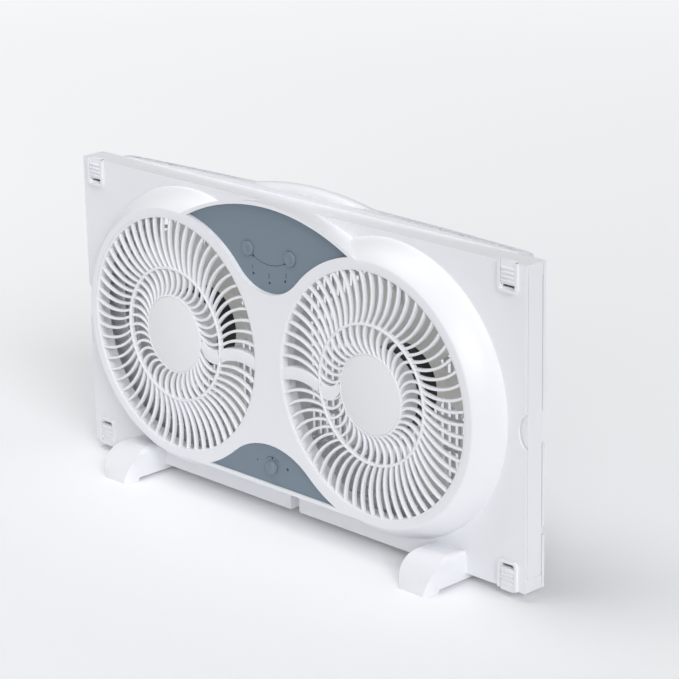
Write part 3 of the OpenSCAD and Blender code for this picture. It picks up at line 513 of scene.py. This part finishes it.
def printed_figure(bm, text, x, z, face_y):
    """A plain figure on a panel's face."""
    curve = bpy.data.curves.new("figure", "FONT")
    curve.body = text
    curve.size = FIGURE_HEIGHT
    curve.align_x = "CENTER"
    curve.align_y = "CENTER"
    holder = bpy.data.objects.new("figure", curve)
    bpy.context.scene.collection.objects.link(holder)
    bpy.context.view_layer.update()
    mesh = bpy.data.meshes.new_from_object(holder)
    place = Matrix.Translation((x * MM, face_y - PRINT, MID_Z + z * MM))
    mesh.transform(place @ Matrix.Rotation(math.radians(90), 4, "X"))
    bm.from_mesh(mesh)
    bpy.data.meshes.remove(mesh)
    bpy.data.objects.remove(holder)
    bpy.data.curves.remove(curve)


def add_marks(name, bm):
    """Turns a bmesh of printed marks into a shown piece."""
    mesh = bpy.data.meshes.new(name)
    bm.to_mesh(mesh)
    bm.free()
    piece = bpy.data.objects.new(name, mesh)
    bpy.context.scene.collection.objects.link(piece)
    mesh.materials.append(bpy.data.materials[MATERIAL_NAMES["printed"]])
    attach(piece, "frame")


class OBJECT_OT_fan_markings(bpy.types.Operator):
    """Print plain figures and marks on both control panels"""

    bl_idname = "object.fan_markings"
    bl_label = "Markings"

    def execute(self, context):
        bm = bmesh.new()
        for text, x, z in FIGURES:
            printed_figure(bm, text, x, z, UPPER_FACE)
        printed_arc(bm, BUTTON_ARC, UPPER_FACE)
        printed_dots(bm, BUTTON_DOTS, UPPER_FACE)
        add_marks("upper_panel_marks", bm)
        bm = bmesh.new()
        printed_dots(bm, KNOB_DOTS, LOWER_FACE)
        printed_arc(bm, KNOB_ARC, LOWER_FACE)
        add_marks("lower_panel_marks", bm)
        return {"FINISHED"}


# The rear cover's upper edge is round across the fan, about this line
EDGE_Y = 12 * MM
EDGE_Z = MID_Z + 98 * MM
EDGE_RADIUS = 49 * MM
# Rise of the arch in the middle, and its fall with the square of the way to the side, both in metres
ARCH_RISE = 6.1 * MM
ARCH_FALL = 0.068
# The arch comes in over this height above the line, and only in the outer skin
ARCH_FADE = 27 * MM
SKIN = 2.5 * MM
SKIN_FADE = 2.2 * MM
# What stands higher over the round edge than this belongs to the hump
HUMP_START = 0.3 * MM
# Cuts across the cover let it follow the arch: millimetres between them, and how many each side
CUT_STEP = 15
CUTS = 18
# The front ends of the slots higher than this above the line move from here to there
SLOT_HEIGHT = 36 * MM
SLOT_FRONT = 16.5 * MM
SLOT_REACH = 13 * MM


def share(length, whole):
    """How much of whole the length is, from 0 to 1."""
    return min(1.0, max(0.0, length / whole))


def arched_height(place):
    """Height of a point once the cover's upper edge is arched; the hump stays above it."""
    rise = max(0.0, ARCH_RISE - ARCH_FALL * place.x ** 2)
    across, up = place.y - EDGE_Y, place.z - EDGE_Z
    edge = EDGE_Z + math.sqrt(max(0.0, EDGE_RADIUS ** 2 - across ** 2))
    if place.z > edge + HUMP_START:
        return max(place.z, edge + rise * share(edge - EDGE_Z, ARCH_FADE))
    outer = share(math.hypot(across, up) - EDGE_RADIUS + SKIN, SKIN_FADE)
    return place.z + rise * outer * share(up, ARCH_FADE)


class OBJECT_OT_fan_rear_cover(bpy.types.Operator):
    """Build the slatted rear cover with its arched upper edge"""

    bl_idname = "object.fan_rear_cover"
    bl_label = "Rear cover"

    def execute(self, context):
        bm = bmesh.new()
        bm.from_mesh(frame["nodes"]["rear_grille"].data)
        bmesh.ops.remove_doubles(bm, verts=bm.verts, dist=NODE_WELD)
        for i in range(-CUTS, CUTS + 1):
            faces = [f for f in bm.faces if max(v.co.z for v in f.verts) > EDGE_Z]
            parts = {e for f in faces for e in f.edges} | {v for f in faces for v in f.verts}
            bmesh.ops.bisect_plane(
                bm, geom=faces + list(parts), dist=0.001 * MM,
                plane_co=(i * CUT_STEP * MM, 0, 0), plane_no=(1, 0, 0))
        for vert in bm.verts:
            if vert.co.z > EDGE_Z:
                vert.co.z = arched_height(vert.co)
                # The upper slots run on to the frame's edge, so that the slats show over it
                if abs(vert.co.y - SLOT_FRONT) < 0.1 * MM and vert.co.z > EDGE_Z + SLOT_HEIGHT:
                    vert.co.y = SLOT_REACH
        add_piece(bm, "rear_cover_moulding", "frame", "housing_white", ["rear_grille"])
        return {"FINISHED"}


# Body and slot of each node that is copied with softened edges
SOFT_NODES = {
    "front_housing": ("frame", "housing_white"),
    "rear_housing": ("frame", "housing_white"),
    "left_side_panel": ("left_panel", "housing_white"),
    "right_side_panel": ("right_panel", "housing_white"),
    "left_panel_bar": ("left_panel", "housing_white"),
    "right_panel_bar": ("right_panel", "housing_white"),
    "upper_left_latch": ("upper_left_catch", "housing_white"),
    "upper_right_latch": ("upper_right_catch", "housing_white"),
    "lower_left_latch": ("lower_left_catch", "housing_white"),
    "lower_right_latch": ("lower_right_catch", "housing_white"),
    "upper_control_panel": ("frame", "panel_slate"),
    "lower_control_panel": ("frame", "panel_slate"),
    "left_button": ("left_button", "panel_slate"),
    "right_button": ("right_button", "panel_slate"),
    "airflow_knob": ("knob", "panel_slate"),
    "left_foot": ("frame", "housing_white"),
    "right_foot": ("frame", "housing_white"),
}


class OBJECT_OT_fan_mouldings(bpy.types.Operator):
    """Soften the edges of the housings, panels, latches, controls and feet"""

    bl_idname = "object.fan_mouldings"
    bl_label = "Mouldings"

    def execute(self, context):
        for node, (body, slot) in SOFT_NODES.items():
            from_node(node, body, slot)
        return {"FINISHED"}


class OBJECT_OT_fan_inner_parts(bpy.types.Operator):
    """Give the nodes that keep their shape their materials"""

    bl_idname = "object.fan_inner_parts"
    bl_label = "Inner parts"

    def execute(self, context):
        slots = {p["node"]: p["material_slot"] for p in frame["record"]["subparts"]}
        for name, node in frame["nodes"].items():
            if node.hide_render:
                continue
            node.data.materials.clear()
            node.data.materials.append(bpy.data.materials[MATERIAL_NAMES[slots[name]]])
        return {"FINISHED"}


# Camera: place in metres, direction from the fan and roll in degrees, lens and film in millimetres
CAMERA_PLACE = Vector((1684.1, -1577.9, 912.7)) * MM
CAMERA_AZIMUTH, CAMERA_ELEVATION, CAMERA_ROLL = 45.94, 17.75, -1.08
CAMERA_LENS, CAMERA_FILM = 138.4, 36

# A far, wide key light and a fill beside the camera; soft boxes from the left and from above.
# Each is its kind, its place in metres, its power, and its angle or size; all point at LAMP_AIM
LAMPS = {
    "key": ("SUN", (3.5, -1.95, 2.4), 1.54, math.radians(30)),
    "front": ("SUN", (1.9, -2.6, 1.2), 0.35, math.radians(20)),
    "left": ("AREA", (-2.6, -1.3, 1.0), 2, 1.4),
    "top": ("AREA", (-0.6, -0.4, 2.6), 28, 1.6),
}
LAMP_AIM = Vector((0, 0, 0.15))
WORLD_LIGHT = 0.24
# Half the floor's side, in metres
FLOOR_HALF = 6


def paper_floor():
    """Matte paper: the camera sees its far parts as pale as its near ones."""
    made, tree = new_material("paper_floor")
    shader = add_node(tree, "ShaderNodeBsdfPrincipled",
        {"Base Color": colours().floor, "Roughness": 0.8})
    place = add_node(tree, "ShaderNodeTexCoord").outputs["Object"]
    away = add_node(tree, "ShaderNodeVectorMath", {"operation": "LENGTH"}, {"Vector": place})
    # Distances in metres, between which the paper grows paler for the camera
    lift = add_node(tree, "ShaderNodeMapRange",
        {"From Min": 0.3, "From Max": 3.2, "To Min": 0.04, "To Max": 0.42},
        {"Value": away.outputs["Value"]})
    seen = add_node(tree, "ShaderNodeLightPath")
    glow = add_node(tree, "ShaderNodeMath", {"operation": "MULTIPLY"},
        {0: lift.outputs[0], 1: seen.outputs["Is Camera Ray"]})
    paper = add_node(tree, "ShaderNodeEmission", {"Color": (1, 1, 1, 1)},
        {"Strength": glow.outputs[0]})
    shader = add_node(tree, "ShaderNodeAddShader", links={0: shader.outputs[0], 1: paper.outputs[0]})
    close_material(tree, shader)
    return made


def add_floor(scene):
    bm = bmesh.new()
    bmesh.ops.create_grid(bm, x_segments=1, y_segments=1, size=FLOOR_HALF)
    mesh = bpy.data.meshes.new("floor")
    bm.to_mesh(mesh)
    bm.free()
    floor = bpy.data.objects.new("floor", mesh)
    scene.collection.objects.link(floor)
    mesh.materials.append(paper_floor())


def add_world(scene):
    """A soft light from all round, which the camera sees as plain white."""
    world = bpy.data.worlds.new("studio")
    scene.world = world
    world.use_nodes = True
    tree = world.node_tree
    tree.nodes.clear()
    path = add_node(tree, "ShaderNodeLightPath")
    soft = add_node(tree, "ShaderNodeBackground",
        {"Color": (0.97, 0.98, 1, 1), "Strength": WORLD_LIGHT})
    seen = add_node(tree, "ShaderNodeBackground", {"Color": (1, 1, 1, 1), "Strength": 1.0})
    mix = add_node(tree, "ShaderNodeMixShader", links={
        0: path.outputs["Is Camera Ray"], 1: soft.outputs[0], 2: seen.outputs[0]})
    add_node(tree, "ShaderNodeOutputWorld", links={"Surface": mix.outputs[0]})


def add_lamps(scene):
    for name, (kind, place, power, size) in LAMPS.items():
        lamp = bpy.data.lights.new(name, kind)
        lamp.energy = power
        if kind == "SUN":
            lamp.angle = size
        else:
            lamp.size = size
        made = bpy.data.objects.new(name, lamp)
        scene.collection.objects.link(made)
        made.location = place
        made.rotation_euler = (LAMP_AIM - Vector(place)).to_track_quat("-Z", "Y").to_euler()


def add_camera(scene):
    camera = bpy.data.cameras.new("camera")
    camera.sensor_width = CAMERA_FILM
    camera.lens = CAMERA_LENS
    made = bpy.data.objects.new("camera", camera)
    scene.collection.objects.link(made)
    a, e, roll = (math.radians(d) for d in (CAMERA_AZIMUTH, CAMERA_ELEVATION, CAMERA_ROLL))
    back = Vector((math.sin(a) * math.cos(e), -math.cos(a) * math.cos(e), math.sin(e)))
    right = Vector((math.cos(a), math.sin(a), 0))
    up = back.cross(right)
    turned_right = right * math.cos(roll) + up * math.sin(roll)
    turned_up = up * math.cos(roll) - right * math.sin(roll)
    matrix = Matrix((turned_right, turned_up, back)).transposed().to_4x4()
    matrix.translation = CAMERA_PLACE
    made.matrix_world = matrix
    scene.camera = made


class OBJECT_OT_fan_stage(bpy.types.Operator):
    """Add the floor, the lamps and the camera"""

    bl_idname = "object.fan_stage"
    bl_label = "Stage"

    def execute(self, context):
        scene = context.scene
        add_floor(scene)
        add_world(scene)
        add_lamps(scene)
        add_camera(scene)
        scene.view_settings.view_transform = "Standard"
        return {"FINISHED"}


class VIEW3D_PT_window_fan(bpy.types.Panel):
    """Lists the fan's pieces"""

    bl_idname = "VIEW3D_PT_window_fan"
    bl_label = "Window fan"
    bl_space_type = "VIEW_3D"
    bl_region_type = "UI"
    bl_category = "Window fan"

    def draw(self, context):
        for made in OPERATORS:
            self.layout.operator(made.bl_idname)


OPERATORS = (
    OBJECT_OT_fan_grille,
    OBJECT_OT_fan_hub_caps,
    OBJECT_OT_fan_mouldings,
    OBJECT_OT_fan_rear_cover,
    OBJECT_OT_fan_markings,
    OBJECT_OT_fan_inner_parts,
    OBJECT_OT_fan_stage,
)
CLASSES = (FanColours, FanSizes) + OPERATORS + (VIEW3D_PT_window_fan,)


def register():
    for made in CLASSES:
        bpy.utils.register_class(made)
    bpy.types.Scene.fan_colours = PointerProperty(type=FanColours)
    bpy.types.Scene.fan_sizes = PointerProperty(type=FanSizes)


def unregister():
    del bpy.types.Scene.fan_sizes
    del bpy.types.Scene.fan_colours
    for made in reversed(CLASSES):
        bpy.utils.unregister_class(made)


def main():
    register()
    for slot, made in make_materials().items():
        MATERIAL_NAMES[slot] = made.name
    for operator in OPERATORS:
        group, name = operator.bl_idname.split(".")
        getattr(getattr(bpy.ops, group), name)()


if __name__ == "__main__":
    main()
